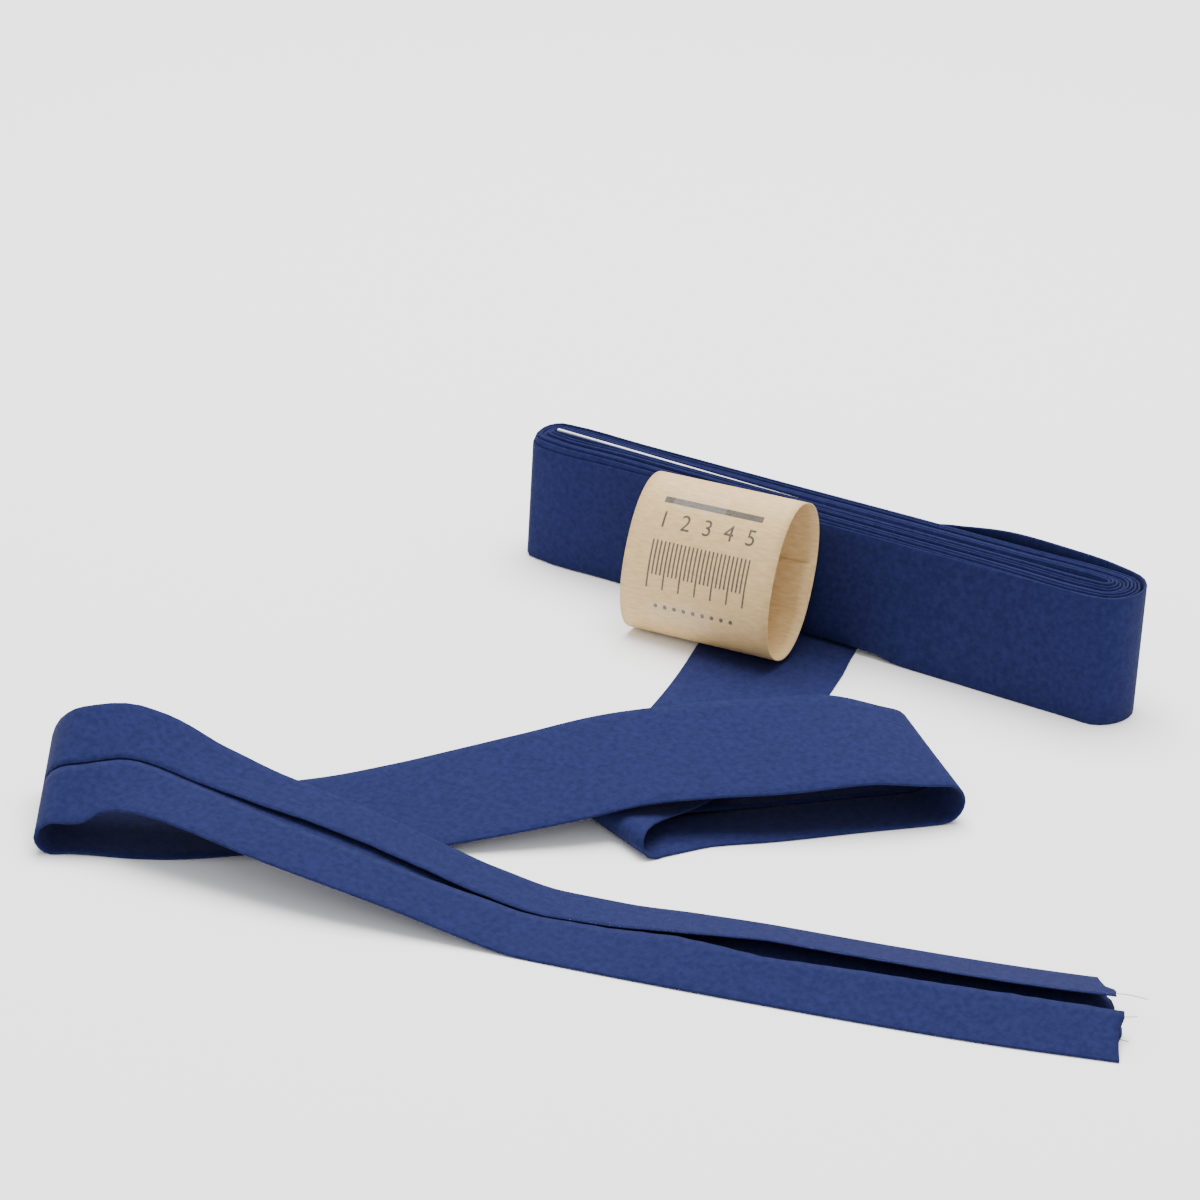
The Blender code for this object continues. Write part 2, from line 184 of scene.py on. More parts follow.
# The paper band: an oval tube, leaning back, whose ends overlap at its back.
BAND_HALF_TALL = 14.78
BAND_HALF_DEEP = 8.18
BAND_SQUARENESS = 0.9
BAND_LEAN = math.radians(21)
BAND_TURN = math.radians(0.5)
BAND_RISE = math.radians(3.0)
BAND_CENTRE = (-14.8, -15.2, 15.2)
BAND_START = -22.0
BAND_OVERLAP = 34.0
BAND_SKEW = 0.8
BAND_STEPS = 132
BAND_ROWS = 14
FRONT_ANGLE = 180.0
NUMERAL_EDGE = 0.7
NUMERAL_CUTS = 3

# The camera, found from the photo's straight edges: place in millimetres, angles in degrees.
CAMERA_PLACE = (356.88, -697.65, 343.15)
CAMERA_FORWARD = (-0.4613, 0.7932, -0.3974)
CAMERA_ROLL = 3.429
CAMERA_LENS = 135.85
SENSOR = 36.0


def part_shift():
    """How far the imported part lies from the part's own frame, in millimetres, read off its card."""
    low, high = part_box("card")
    middle = (low + high) / 2
    return Vector((middle.x / MM - CARD_MIDDLE[0], middle.y / MM - CARD_MIDDLE[1], 0.0))


SHIFT = part_shift()


def to_metres(point):
    return (Vector(point) + SHIFT) * MM


def make_object(name, bm, finish):
    """Turn a bmesh in metres into a smooth piece that rides on the part."""
    mesh = bpy.data.meshes.new(name)
    bm.to_mesh(mesh)
    bm.free()
    mesh.shade_smooth()
    mesh.materials.append(finish)
    made = bpy.data.objects.new(name, mesh)
    bpy.context.scene.collection.objects.link(made)
    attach(made, "root")
    return made


def thicken(piece, thickness):
    wall = piece.modifiers.new("thickness", "SOLIDIFY")
    wall.thickness = thickness
    wall.offset = 0.0
    return wall


def placed_grid(columns, rows, place):
    """A grid of faces whose points are put by place(column, row), with that call's UV."""
    bm = bmesh.new()
    bmesh.ops.create_grid(bm, x_segments=columns, y_segments=rows, size=1.0)
    uv_layer = bm.loops.layers.uv.new("cloth")
    uv_of = {}
    for vertex in bm.verts:
        column = round((vertex.co.x + 1) / 2 * columns)
        row = round((vertex.co.y + 1) / 2 * rows)
        point, uv = place(column, row)
        vertex.co = to_metres(point)
        uv_of[vertex] = uv
    for face in bm.faces:
        for loop in face.loops:
            loop[uv_layer].uv = uv_of[loop.vert]
    bmesh.ops.recalc_face_normals(bm, faces=bm.faces)
    return bm


def direction(across, tilt):
    level = math.cos(math.radians(tilt))
    return np.array([level * math.cos(math.radians(across)), level * math.sin(math.radians(across)),
                     math.sin(math.radians(tilt))])


def by_turn(values, turns):
    """A value given for each group of turns, read at some number of turns."""
    return float(np.interp(turns, range(len(GROUP_OF_TURN)), [values[group] for group in GROUP_OF_TURN]))


def wound_radius(end, turns):
    """Radius of the winding at one end after so many turns, with a step between groups of turns."""
    return FIRST_RADIUS + end.pitch * turns + GROUP_GAP * by_turn(range(len(GROUP_DROP)), turns)


def share_along(x):
    """How far along the winding x lies: 0 at its left end and 1 at its right."""
    return min(1.0, max(0.0, (x - LEFT_END.core_x) / (RIGHT_END.core_x - LEFT_END.core_x)))


def wound_row(x, y, turns):
    """One row of the winding: each turn's edges stand at slightly different heights."""
    foot = 0.20 + 0.08 * math.sin(2.4 * turns + x / 37)
    drop = by_turn(GROUP_DROP, turns) + 0.14 * math.sin(1.7 * turns + 0.8 + x / 52)
    last = max(0.0, turns - WOUND_TURNS + 0.5) * 2
    top = TAPE_WIDTH - drop - LAST_TURN_DROP * last * (1 - share_along(x))
    return (x, y, (foot + top) / 2, 0, 90, top - foot, LAID_SLIT, 0)


def arc_rows(end, turns):
    rows = []
    for step in range(1, ARC_ROWS):
        angle = math.radians(end.start + 180 * step / ARC_ROWS)
        now = turns + step / ARC_ROWS / 2
        out_x = end.depth * math.copysign(abs(math.cos(angle)) ** END_SQUARENESS, math.cos(angle))
        radius = wound_radius(end, now)
        rows.append(wound_row(end.core_x + radius * out_x, WINDING_Y + radius * math.sin(angle), now))
    return rows


def run_rows(side, turns):
    """A straight run of the winding: along the front to the right, or along the back to the left."""
    rows = []
    for step in range(RUN_ROWS + 1):
        share = step / RUN_ROWS if side < 0 else 1 - step / RUN_ROWS
        x = LEFT_END.core_x + (RIGHT_END.core_x - LEFT_END.core_x) * share
        radius = wound_radius(LEFT_END, turns) * (1 - share) + wound_radius(RIGHT_END, turns) * share
        bulge = RUN_BULGE * turns / WOUND_TURNS * math.sin(x / 17 + 1.0)
        rows.append(wound_row(x, WINDING_Y + side * radius + bulge, turns))
    return rows


def wound_rows():
    rows = []
    for turn in range(WOUND_TURNS):
        rows += run_rows(-1, turn)
        rows += arc_rows(RIGHT_END, turn)
        rows += run_rows(1, turn + 0.5)
        rows += arc_rows(LEFT_END, turn + 0.5)
    return rows + run_rows(-1, WOUND_TURNS)


def leaving_rows():
    """Rows round the hank's right end, where the loose end parts from the outer turn."""
    rows = []
    for degrees in EXIT_ANGLES:
        angle = math.radians(degrees)
        out_x = math.cos(angle) ** END_SQUARENESS
        rows.append((RIGHT_END.core_x + EXIT_RADIUS * out_x, WINDING_Y + EXIT_RADIUS * math.sin(angle),
                     TAPE_WIDTH / 2, 0, 90, TAPE_WIDTH, LAID_SLIT, 0))
    return rows


def fold_rows(fold):
    """Rows round one fold: the tape turns through half a turn about the fold's level axis."""
    axis = direction(fold["across"], 0)
    outward = direction(fold["across"] + fold["outward"], 0)
    middle = (fold["high"] + fold["low"]) / 2
    half = (fold["high"] - fold["low"]) / 2
    sign = 1 if fold["going"] == "down" else -1
    rows = []
    for step in range(FOLD_STEPS + 1):
        turn = math.pi * step / FOLD_STEPS
        place = (np.array([fold["x"], fold["y"], middle])
                 + outward * fold["reach"] * math.sin(turn)
                 + axis * fold["drift"] * (step / FOLD_STEPS - 0.5))
        place[2] += sign * half * math.cos(turn)
        bank = fold["bank"] * step / FOLD_STEPS
        rows.append((*place, fold["across"], bank, TAPE_WIDTH, LAID_SLIT, 0))
    return rows


def loose_rows():
    rows = leaving_rows() + list(LAID["leaving"]) + list(LAID["under_hank"])
    rows += fold_rows(FOLDS["corner"]) + list(LAID["to_right_loop"])
    rows += fold_rows(FOLDS["right_loop"]) + list(LAID["back_over"])
    rows += fold_rows(FOLDS["left_loop"]) + list(LAID["tail"])
    return rows


def settle(row, laid_z):
    """Lower a laid row of the thick solid to where the thin tape lies; a standing row stays."""
    drop = (SOLID_LAID_Z - laid_z) * math.cos(math.radians(row.tilt))
    return row._replace(z=row.z - drop)


def level_slope(height, chord):
    """Slopes that keep a curve between its rows, so laid tape never dips below the table."""
    rise = np.diff(height) / chord
    product = rise[:-1] * rise[1:]
    total = rise[:-1] + rise[1:]
    inner = np.where(product > 0, 2 * product / np.where(product > 0, total, 1.0), 0.0)
    return np.concatenate([[0.0], inner, [0.0]])


def smooth_path(rows, wound_count):
    """Stations along a smooth curve through the rows; the first wound_count rows are the winding."""
    table = np.array(rows, float)
    middle = table[:, :3]
    lines_across = np.array([direction(row.across, row.tilt) for row in rows])
    shape = np.hstack([middle, lines_across])
    chord = np.linalg.norm(np.diff(middle, axis=0), axis=1)
    knot = np.concatenate([[0], np.cumsum(chord)])
    slope = np.gradient(shape, knot, axis=0)
    for upward in (2, 5):
        slope[:, upward] = level_slope(shape[:, upward], chord)
    stations = []
    for i, length in enumerate(chord):
        wound = i < wound_count - 1
        steps = max(1, math.ceil(length / (STATION_STEP * (2 if wound else 1))))
        for step in range(steps + (i == len(chord) - 1)):
            t = step / steps
            blend = ((2 * t**3 - 3 * t**2 + 1), (t**3 - 2 * t**2 + t), (3 * t**2 - 2 * t**3), (t**3 - t**2))
            rate = ((6 * t**2 - 6 * t), (3 * t**2 - 4 * t + 1), (6 * t - 6 * t**2), (3 * t**2 - 2 * t))
            ends = (shape[i], slope[i] * length, shape[i + 1], slope[i + 1] * length)
            point = sum(weight * end for weight, end in zip(blend, ends))
            along = sum(weight * end for weight, end in zip(rate, ends))[:3]
            width, slit, lift = table[i, 5:] + (table[i + 1, 5:] - table[i, 5:]) * t
            across = point[3:] / np.linalg.norm(point[3:])
            apart = WOUND_APART if wound else LAID_APART
            stations.append(Station(point[:3], across, along / np.linalg.norm(along), width, slit, lift,
                                    apart, wound))
    return stations


def tape_profile(station, fray):
    """The cloth's middle line cut across, from one folded-in edge round to the other: (across, up)."""
    half, round_off = station.width / 2, station.apart / 2
    reach = half - round_off - station.slit / 2
    tilt = math.radians(station.lift)
    sides = []
    for side, wobble in ((1, fray[0]), (-1, fray[1])):
        hinge = side * (half - round_off)
        flap = []
        for step in range(FLAP_SEGMENTS, 0, -1):
            out = (reach - wobble) * step / FLAP_SEGMENTS
            flap.append((hinge - side * out * math.cos(tilt), -round_off - out * math.sin(tilt)))
        fold = []
        for step in range(FOLD_SEGMENTS + 1):
            turn = math.pi * step / FOLD_SEGMENTS
            fold.append((hinge + side * round_off * math.sin(turn), -round_off * math.cos(turn)))
        sides.append(flap + fold)
    near, far = sides
    base = []
    for step in range(1, BASE_SEGMENTS):
        share = step / BASE_SEGMENTS
        base.append((near[-1][0] + (far[-1][0] - near[-1][0]) * share, round_off))
    return near + base + far[::-1]


def crossing_rise(x):
    """How far the winding's lower edge lifts over the strand that passes under it."""
    left, right = CROSSING_X
    outside = max(left - x, x - right, 0.0)
    share = max(0.0, 1.0 - outside / CROSSING_SHOULDER)
    return CROSSING_RISE * share * share * (3 - 2 * share)


def cut_back(across_from_near):
    places, backs = zip(*CUT_POINTS)
    return float(np.interp(across_from_near, places, backs))


def build_tape_mesh(finish):
    """The whole tape as one sheet: wound round the card, then laid out to its jagged end."""
    table_clear = bpy.context.scene.bias_tape.layer / MM / 2 + 0.02
    laid_z = LAID_APART / 2 + table_clear
    wound = [Row(*row) for row in wound_rows()]
    loose = [settle(Row(*row), laid_z) for row in loose_rows()]
    stations = smooth_path(wound + loose, len(wound))
    rng = random.Random(7)
    frays = [(rng.uniform(-SLIT_FRAY, SLIT_FRAY), rng.uniform(-SLIT_FRAY, SLIT_FRAY)) for _ in stations]
    profiles = [tape_profile(station, fray) for station, fray in zip(stations, frays)]
    steps = [np.linalg.norm(b.point - a.point) for a, b in zip(stations, stations[1:])]
    distance = np.concatenate([[0], np.cumsum(steps)])
    last = len(stations) - 1
    columns = len(profiles[0]) - 1

    def place(column, row):
        station = stations[row]
        u, v = profiles[row][column]
        up = np.cross(station.along, station.across)
        stretch = 1 / np.linalg.norm(up)
        point = station.point + station.across * u * stretch + up * stretch * v
        if row > last - CUT_STATIONS:
            share = (row - last + CUT_STATIONS) / CUT_STATIONS
            point = point - station.along * cut_back(station.width / 2 - u) * share
        if station.wound:
            point[2] += crossing_rise(point[0]) * max(0.0, 1 - point[2] / TAPE_WIDTH)
        point[2] = max(point[2], table_clear)
        cloth_across = 2 * TAPE_WIDTH * column / columns
        return point, (cloth_across * MM, distance[row] * MM)

    tape = make_object("folded_tape", placed_grid(columns, last, place), finish)
    thicken(tape, bpy.context.scene.bias_tape.layer)
    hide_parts("wound_hank", "loose_end")
    return tape


def node_material(name, roughness):
    made = bpy.data.materials.new(name)
    made.use_nodes = True
    shader = made.node_tree.nodes["Principled BSDF"]
    shader.inputs["Roughness"].default_value = roughness
    return made, made.node_tree, shader


def add_node(tree, kind, **values):
    node = tree.nodes.new(kind)
    for key, value in values.items():
        setattr(node, key, value)
    return node


def mixed_colour(tree, factor, low, high):
    ramp = add_node(tree, "ShaderNodeValToRGB")
    ramp.color_ramp.elements[0].color = (*low, 1.0)
    ramp.color_ramp.elements[1].color = (*high, 1.0)
    ramp.color_ramp.elements[0].position = 0.3
    ramp.color_ramp.elements[1].position = 0.7
    tree.links.new(factor, ramp.inputs["Fac"])
    return ramp.outputs["Color"]


def cotton_material():
    """Navy cotton: a fine plain weave that lies at 45 degrees to the tape, with soft mottling."""
    sizes = bpy.context.scene.bias_tape
    made, tree, shader = node_material("navy_cotton", 0.92)
    shader.inputs["Sheen Weight"].default_value = 0.02
    shader.inputs["Sheen Roughness"].default_value = 0.5
    shader.inputs["Specular IOR Level"].default_value = 0.08
    uv = add_node(tree, "ShaderNodeUVMap", uv_map="cloth")
    turned = add_node(tree, "ShaderNodeMapping")
    turned.inputs["Rotation"].default_value = (0, 0, math.radians(45))
    scale = math.pi / sizes.thread_pitch
    turned.inputs["Scale"].default_value = (scale, scale, scale)
    tree.links.new(uv.outputs["UV"], turned.inputs["Vector"])
    split = add_node(tree, "ShaderNodeSeparateXYZ")
    tree.links.new(turned.outputs["Vector"], split.inputs["Vector"])
    waves = []
    for axis in ("X", "Y"):
        wave = add_node(tree, "ShaderNodeMath", operation="SINE")
        tree.links.new(split.outputs[axis], wave.inputs[0])
        waves.append(wave)
    weave = add_node(tree, "ShaderNodeMath", operation="MULTIPLY")
    for index, wave in enumerate(waves):
        tree.links.new(wave.outputs[0], weave.inputs[index])
    coords = add_node(tree, "ShaderNodeTexCoord")
    mottle = add_node(tree, "ShaderNodeTexNoise")
    mottle.inputs["Scale"].default_value = 900.0
    mottle.inputs["Detail"].default_value = 3.0
    tree.links.new(coords.outputs["Object"], mottle.inputs["Vector"])
    colour = mixed_colour(tree, mottle.outputs["Fac"], sizes.navy_dark, sizes.navy_light)
    tree.links.new(colour, shader.inputs["Base Color"])
    bump = add_node(tree, "ShaderNodeBump")
    bump.inputs["Strength"].default_value = 0.35
    bump.inputs["Distance"].default_value = 0.00006
    tree.links.new(weave.outputs[0], bump.inputs["Height"])
    tree.links.new(bump.outputs["Normal"], shader.inputs["Normal"])
    return made


def paper_material():
    """Brown kraft paper: long faint fibres along the band and fine specks."""
    sizes = bpy.context.scene.bias_band
    made, tree, shader = node_material("kraft_paper", 0.62)
    uv = add_node(tree, "ShaderNodeUVMap", uv_map="cloth")
    stretch = add_node(tree, "ShaderNodeMapping")
    stretch.inputs["Scale"].default_value = (2600.0, 420.0, 1.0)
    tree.links.new(uv.outputs["UV"], stretch.inputs["Vector"])
    fibre = add_node(tree, "ShaderNodeTexNoise")
    fibre.inputs["Scale"].default_value = 1.0
    fibre.inputs["Detail"].default_value = 5.0
    tree.links.new(stretch.outputs["Vector"], fibre.inputs["Vector"])
    colour = mixed_colour(tree, fibre.outputs["Fac"], sizes.kraft_dark, sizes.kraft_light)
    tree.links.new(colour, shader.inputs["Base Color"])
    bump = add_node(tree, "ShaderNodeBump")
    bump.inputs["Strength"].default_value = 0.25
    bump.inputs["Distance"].default_value = 0.00004
    tree.links.new(fibre.outputs["Fac"], bump.inputs["Height"])
    tree.links.new(bump.outputs["Normal"], shader.inputs["Normal"])
    return made


def ink_material():
    made, tree, shader = node_material("printed_ink", 0.55)
    coords = add_node(tree, "ShaderNodeTexCoord")
    patchy = add_node(tree, "ShaderNodeTexNoise")
    patchy.inputs["Scale"].default_value = 2200.0
    tree.links.new(coords.outputs["Object"], patchy.inputs["Vector"])
    colour = mixed_colour(tree, patchy.outputs["Fac"], (0.055, 0.045, 0.035), (0.11, 0.09, 0.065))
    tree.links.new(colour, shader.inputs["Base Color"])
    return made


def card_material():
    made, tree, shader = node_material("white_board", 0.3)
    coords = add_node(tree, "ShaderNodeTexCoord")
    grain = add_node(tree, "ShaderNodeTexNoise")
    grain.inputs["Scale"].default_value = 500.0
    tree.links.new(coords.outputs["Object"], grain.inputs["Vector"])
    colour = mixed_colour(tree, grain.outputs["Fac"], (0.62, 0.63, 0.66), (0.80, 0.81, 0.83))
    tree.links.new(colour, shader.inputs["Base Color"])
    return made


def clear_material():
    made, tree, shader = node_material("clear_film", 0.08)
    shader.inputs["Base Color"].default_value = (0.95, 0.95, 0.93, 1.0)
    shader.inputs["Alpha"].default_value = 0.07
    coords = add_node(tree, "ShaderNodeTexCoord")
    crease = add_node(tree, "ShaderNodeTexNoise")
    crease.inputs["Scale"].default_value = 420.0
    tree.links.new(coords.outputs["Object"], crease.inputs["Vector"])
    bump = add_node(tree, "ShaderNodeBump")
    bump.inputs["Strength"].default_value = 0.5
    bump.inputs["Distance"].default_value = 0.0004
    tree.links.new(crease.outputs["Fac"], bump.inputs["Height"])
    tree.links.new(bump.outputs["Normal"], shader.inputs["Normal"])
    return made


BAND_PLACE = (Matrix.Translation(BAND_CENTRE) @ Matrix.Rotation(BAND_TURN, 4, "Z")
              @ Matrix.Rotation(-BAND_RISE, 4, "Y") @ Matrix.Rotation(-BAND_LEAN, 4, "X"))


def band_point(angle, x, outward):
    """A point of the band's tube: angle round it in degrees, x along it, and how far out."""
    turn = math.radians(angle)
    deep = math.copysign(abs(math.cos(turn)) ** BAND_SQUARENESS, math.cos(turn))
    tall = math.copysign(abs(math.sin(turn)) ** BAND_SQUARENESS, math.sin(turn))
    return BAND_PLACE @ Vector((x, deep * (BAND_HALF_DEEP + outward), tall * (BAND_HALF_TALL + outward)))


def around_table():
    """Distance round the tube from the middle of its front, by angle, increasing downward."""
    angles = np.arange(60.0, 301.0, 1.0)
    points = np.array([band_point(angle, 0, 0) for angle in angles])
    run = np.concatenate([[0], np.cumsum(np.linalg.norm(np.diff(points, axis=0), axis=1))])
    return angles, run - np.interp(FRONT_ANGLE, angles, run)


AROUND = around_table()


def on_front(x, down, outward):
    """A point on the band's front: x along it and a distance down from its middle."""
    return band_point(float(np.interp(down, AROUND[1], AROUND[0])), x, outward)


def build_band_mesh(finish):
    width = bpy.context.scene.bias_band.width / MM
    paper = bpy.context.scene.bias_band.paper / MM
    sweep = 360.0 + BAND_OVERLAP

    def place(column, row):
        share = column / BAND_STEPS
        x = width * (row / BAND_ROWS - 0.5)
        over = max(0.0, share * sweep - 360.0) / BAND_OVERLAP
        inward = -(paper + 0.06) * min(1.0, 4 * over)
        point = band_point(BAND_START + sweep * share, x - BAND_SKEW * over, inward)
        return point, (share * 72 * MM, x * MM)

    band = make_object("kraft_band", placed_grid(BAND_STEPS, BAND_ROWS, place), finish)
    thicken(band, bpy.context.scene.bias_band.paper)
    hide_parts("paper_band")
    return band


def flat_patch(bm, left, top, right, bottom, cells):
    """Add a flat grid of cells to a bmesh laid out as (x along the band, distance down it)."""
    across, down = cells
    made = bmesh.ops.create_grid(bm, x_segments=across, y_segments=down, size=0.5)["verts"]
    for vertex in made:
        vertex.co.x = left + (vertex.co.x + 0.5) * (right - left)
        vertex.co.y = top + (vertex.co.y + 0.5) * (bottom - top)


def add_numeral(bm, digit, x, down, height):
    """Add a plain numeral, upright on the band's front, to the flat layout."""
    curve = bpy.data.curves.new("numeral", "FONT")
    curve.body = digit
    curve.size = height
    curve.align_x = "CENTER"
    curve.align_y = "CENTER"
    text = bpy.data.objects.new("numeral", curve)
    bpy.context.scene.collection.objects.link(text)
    bpy.context.view_layer.update()
    mesh = bpy.data.meshes.new_from_object(text)
    for vertex in mesh.vertices:
        vertex.co = (x + vertex.co.x, down - vertex.co.y, 0.0)
    numeral = bmesh.new()
    numeral.from_mesh(mesh)
    bmesh.ops.triangulate(numeral, faces=numeral.faces)
    for _ in range(NUMERAL_CUTS):
        long_edges = [edge for edge in numeral.edges if edge.calc_length() > NUMERAL_EDGE]
        bmesh.ops.subdivide_edges(numeral, edges=long_edges, cuts=1)
        bmesh.ops.triangulate(numeral, faces=numeral.faces)
    numeral.to_mesh(mesh)
    numeral.free()
    bm.from_mesh(mesh)
    bpy.data.objects.remove(text, do_unlink=True)
    bpy.data.meshes.remove(mesh)


def lay_on_band(bm, outward):
    """Bend a flat layout round the band's front."""
    for vertex in bm.verts:
        vertex.co = to_metres(on_front(vertex.co.x, vertex.co.y, outward))
    bmesh.ops.recalc_face_normals(bm, faces=bm.faces)


def build_marks_mesh(finish):
    """Plain generic marks: a rule, the numerals of an even scale, its ticks, and a row of dots."""
    bm = bmesh.new()
    flat_patch(bm, -10.4, -11.0, 10.4, -9.8, (24, 2))
    for number in range(5):
        add_numeral(bm, str(number + 1), -9.2 + 4.6 * number, -6.4, 4.4)
    for tick in range(25):
        x = -10.2 + 0.85 * tick
        length = 9.0 if tick % 4 == 0 else 6.4
        flat_patch(bm, x - 0.17, -2.6, x + 0.17, -2.6 + length, (1, 12))
    for dot in range(9):
        centre = -8.0 + 2.0 * dot
        ring = bmesh.ops.create_circle(bm, cap_ends=True, segments=12, radius=0.42)["verts"]
        for vertex in ring:
            vertex.co.x += centre
            vertex.co.y += 9.6
    lay_on_band(bm, bpy.context.scene.bias_band.paper / MM / 2 + 0.03)
    return make_object("printed_marks", bm, finish)


def build_film_mesh(finish):
    """Two short lengths of clear sticky film over the print, near the band's top and foot."""
    bm = bmesh.new()
    flat_patch(bm, -8.5, -13.2, 2.5, -8.8, (22, 10))
    flat_patch(bm, -9.5, 8.4, 3.5, 12.6, (22, 10))
    lay_on_band(bm, bpy.context.scene.bias_band.paper / MM / 2 + 0.10)
    return make_object("clear_film", bm, finish)


def build_thread_mesh(finish):
    """Loose threads at the cut end, each a thin bent tube."""
    tip = Row(*LAID["tail"][-1])
    along = direction(tip.across + 90, 0)
    across = direction(tip.across, 0)
    bm = bmesh.new()
    for side, height, length, bend in THREADS:
        root = np.array([tip.x, tip.y, height]) + across * side - along * cut_back(tip.width / 2 - side)
        ring = bmesh.ops.create_circle(bm, segments=6, radius=0.055)["verts"]
        facing = Vector(along).to_track_quat("Z", "Y").to_matrix()
        for vertex in ring:
            vertex.co = facing @ vertex.co + Vector(root)
        edges = list({edge for vertex in ring for edge in vertex.link_edges})
        for step in range(6):
            made = bmesh.ops.extrude_edge_only(bm, edges=edges)["geom"]
            moved = [item for item in made if isinstance(item, bmesh.types.BMVert)]
            edges = [item for item in made if isinstance(item, bmesh.types.BMEdge)]
            push = Vector(along) * length / 6 + Vector(across) * bend * step / 15
            bmesh.ops.translate(bm, vec=push, verts=moved)
        bmesh.ops.contextual_create(bm, geom=edges)
    for vertex in bm.verts:
        vertex.co = to_metres(vertex.co)
    bmesh.ops.recalc_face_normals(bm, faces=bm.faces)
    return make_object("loose_threads", bm, finish)


def build_stage():
    settings = bpy.context.scene.bias_stage
    bm = bmesh.new()
    bmesh.ops.create_grid(bm, x_segments=1, y_segments=1, size=6.0)
    mesh = bpy.data.meshes.new("floor")
    bm.to_mesh(mesh)
    bm.free()
    floor = bpy.data.objects.new("floor", mesh)
    bpy.context.scene.collection.objects.link(floor)
    made, tree, shader = node_material("pale_floor", 0.9)
    shader.inputs["Base Color"].default_value = (*settings.floor_colour, 1.0)
    mesh.materials.append(made)

    world = bpy.data.worlds.new("studio")
    world.use_nodes = True
    world.node_tree.nodes["Background"].inputs["Color"].default_value = (1.0, 1.0, 1.0, 1.0)
    world.node_tree.nodes["Background"].inputs["Strength"].default_value = settings.world_strength
    bpy.context.scene.world = world

    lights = (("overhead", (-0.15, 0.25, 0.95), 0.9, settings.overhead_watts),
              ("front_fill", (0.55, -0.95, 0.55), 0.8, settings.fill_watts))
    for name, place, size, watts in lights:
        lamp = bpy.data.lights.new(name, "AREA")
        lamp.shape = "SQUARE"
        lamp.size = size
        lamp.energy = watts
        item = bpy.data.objects.new(name, lamp)
        item.location = place
        item.rotation_euler = (-Vector(place)).to_track_quat("-Z", "Y").to_euler()
        bpy.context.scene.collection.objects.link(item)


def build_camera():
    forward = Vector(CAMERA_FORWARD).normalized()
    level_right = forward.cross(Vector((0, 0, 1))).normalized()
    level_up = level_right.cross(forward)
    roll = math.radians(CAMERA_ROLL)
    right = math.cos(roll) * level_right + math.sin(roll) * level_up
    up = -math.sin(roll) * level_right + math.cos(roll) * level_up
    data = bpy.data.cameras.new("photo_view")
    data.sensor_width = SENSOR
    data.lens = CAMERA_LENS
    data.clip_start = 0.01
    data.clip_end = 20.0
    camera = bpy.data.objects.new("photo_view", data)
    turn = Matrix((right, up, -forward)).transposed().to_4x4()
    camera.matrix_world = Matrix.Translation(to_metres(CAMERA_PLACE)) @ turn
    bpy.context.scene.collection.objects.link(camera)
    bpy.context.scene.camera = camera


class BiasTapeSizes(bpy.types.PropertyGroup):
    layer: bpy.props.FloatProperty(
        name="Cloth thickness", description="Thickness of one layer of the cotton",
        default=0.00018, min=0.00005, subtype="DISTANCE", unit="LENGTH")
    thread_pitch: bpy.props.FloatProperty(
        name="Thread pitch", description="Distance between the threads of the weave",
        default=0.0003, min=0.00005, subtype="DISTANCE", unit="LENGTH")
    navy_dark: bpy.props.FloatVectorProperty(
        name="Dark navy", description="Darker colour of the cotton", size=3,
        default=(0.0085, 0.0120, 0.0560), subtype="COLOR")
    navy_light: bpy.props.FloatVectorProperty(
        name="Light navy", description="Lighter colour of the cotton", size=3,
        default=(0.0140, 0.0180, 0.0790), subtype="COLOR")


class BiasBandSizes(bpy.types.PropertyGroup):
    width: bpy.props.FloatProperty(
        name="Band width", description="Width of the paper band along the hank",
        default=0.0314, min=0.005, subtype="DISTANCE", unit="LENGTH")
    paper: bpy.props.FloatProperty(
        name="Paper thickness", description="Thickness of the kraft paper",
        default=0.00024, min=0.00005, subtype="DISTANCE", unit="LENGTH")
    kraft_dark: bpy.props.FloatVectorProperty(
        name="Dark kraft", description="Darker colour of the paper", size=3,
        default=(0.52, 0.34, 0.145), subtype="COLOR")
    kraft_light: bpy.props.FloatVectorProperty(
        name="Light kraft", description="Lighter colour of the paper", size=3,
        default=(0.66, 0.46, 0.215), subtype="COLOR")


class BiasStageSettings(bpy.types.PropertyGroup):
    floor_colour: bpy.props.FloatVectorProperty(
        name="Floor colour", description="Colour of the plain floor", size=3,
        default=(0.96, 0.965, 0.97), subtype="COLOR")
    world_strength: bpy.props.FloatProperty(
        name="Surrounding light", description="Strength of the even light all round", default=0.95, min=0.0)
    overhead_watts: bpy.props.FloatProperty(
        name="Overhead light", description="Power of the soft light overhead", default=26.0, min=0.0)
    fill_watts: bpy.props.FloatProperty(
        name="Front light", description="Power of the soft light in front", default=3.0, min=0.0)


class BIAS_OT_tape(bpy.types.Operator):
    """Build the folded tape, wound and laid out"""
    bl_idname = "bias_tape.tape"
    bl_label = "Folded tape"

    def execute(self, context):
        build_tape_mesh(cotton_material())
        return {"FINISHED"}


class BIAS_OT_threads(bpy.types.Operator):
    """Add the loose threads at the tape's cut end"""
    bl_idname = "bias_tape.threads"
    bl_label = "Loose threads"

    def execute(self, context):
        build_thread_mesh(bpy.data.materials["navy_cotton"])
        return {"FINISHED"}


class BIAS_OT_card(bpy.types.Operator):
    """Give the card inside the winding its white board finish"""
    bl_idname = "bias_tape.card"
    bl_label = "Card"

    def execute(self, context):
        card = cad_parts["card"]
        card.data.materials.clear()
        card.data.materials.append(card_material())
        return {"FINISHED"}


class BIAS_OT_band(bpy.types.Operator):
    """Build the oval paper band"""
    bl_idname = "bias_tape.band"
    bl_label = "Paper band"

    def execute(self, context):
        build_band_mesh(paper_material())
        return {"FINISHED"}


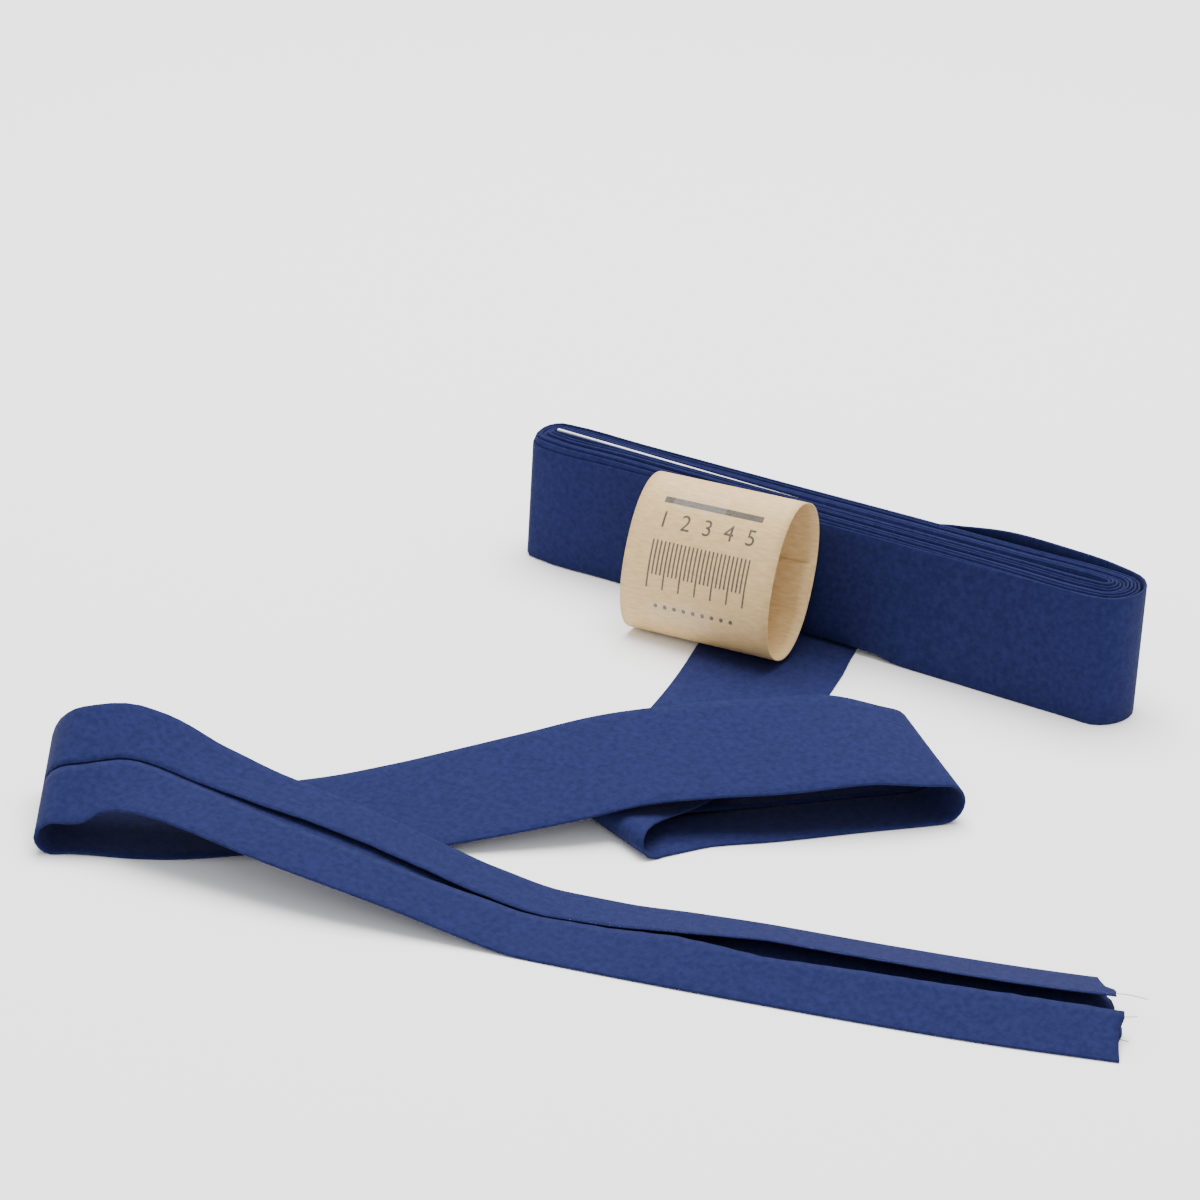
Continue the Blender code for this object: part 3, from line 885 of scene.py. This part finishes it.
class BIAS_OT_marks(bpy.types.Operator):
    """Print the plain generic marks on the band's front"""
    bl_idname = "bias_tape.marks"
    bl_label = "Printed marks"

    def execute(self, context):
        build_marks_mesh(ink_material())
        return {"FINISHED"}


class BIAS_OT_film(bpy.types.Operator):
    """Lay the clear sticky film over the print"""
    bl_idname = "bias_tape.film"
    bl_label = "Clear film"

    def execute(self, context):
        build_film_mesh(clear_material())
        return {"FINISHED"}


class BIAS_OT_stage(bpy.types.Operator):
    """Set up the floor, the lights and the camera"""
    bl_idname = "bias_tape.stage"
    bl_label = "Stage"

    def execute(self, context):
        build_stage()
        build_camera()
        return {"FINISHED"}


class BIAS_PT_panel(bpy.types.Panel):
    bl_idname = "BIAS_PT_panel"
    bl_label = "Bias tape"
    bl_space_type = "VIEW_3D"
    bl_region_type = "UI"
    bl_category = "Bias tape"

    def draw(self, context):
        for operator in OPERATORS:
            self.layout.operator(operator.bl_idname)
        for group in ("bias_tape", "bias_band", "bias_stage"):
            box = self.layout.box()
            settings = getattr(context.scene, group)
            for name in settings.bl_rna.properties.keys():
                if name not in ("rna_type", "name"):
                    box.prop(settings, name)


OPERATORS = (BIAS_OT_stage, BIAS_OT_tape, BIAS_OT_threads, BIAS_OT_card, BIAS_OT_band, BIAS_OT_marks,
             BIAS_OT_film)
CLASSES = (BiasTapeSizes, BiasBandSizes, BiasStageSettings, *OPERATORS, BIAS_PT_panel)


def register():
    for item in CLASSES:
        bpy.utils.register_class(item)
    bpy.types.Scene.bias_tape = bpy.props.PointerProperty(type=BiasTapeSizes)
    bpy.types.Scene.bias_band = bpy.props.PointerProperty(type=BiasBandSizes)
    bpy.types.Scene.bias_stage = bpy.props.PointerProperty(type=BiasStageSettings)


def unregister():
    del bpy.types.Scene.bias_stage
    del bpy.types.Scene.bias_band
    del bpy.types.Scene.bias_tape
    for item in reversed(CLASSES):
        bpy.utils.unregister_class(item)


def main():
    register()
    bpy.ops.bias_tape.stage()
    bpy.ops.bias_tape.tape()
    bpy.ops.bias_tape.threads()
    bpy.ops.bias_tape.card()
    bpy.ops.bias_tape.band()
    bpy.ops.bias_tape.marks()
    bpy.ops.bias_tape.film()


if __name__ == "__main__":
    main()
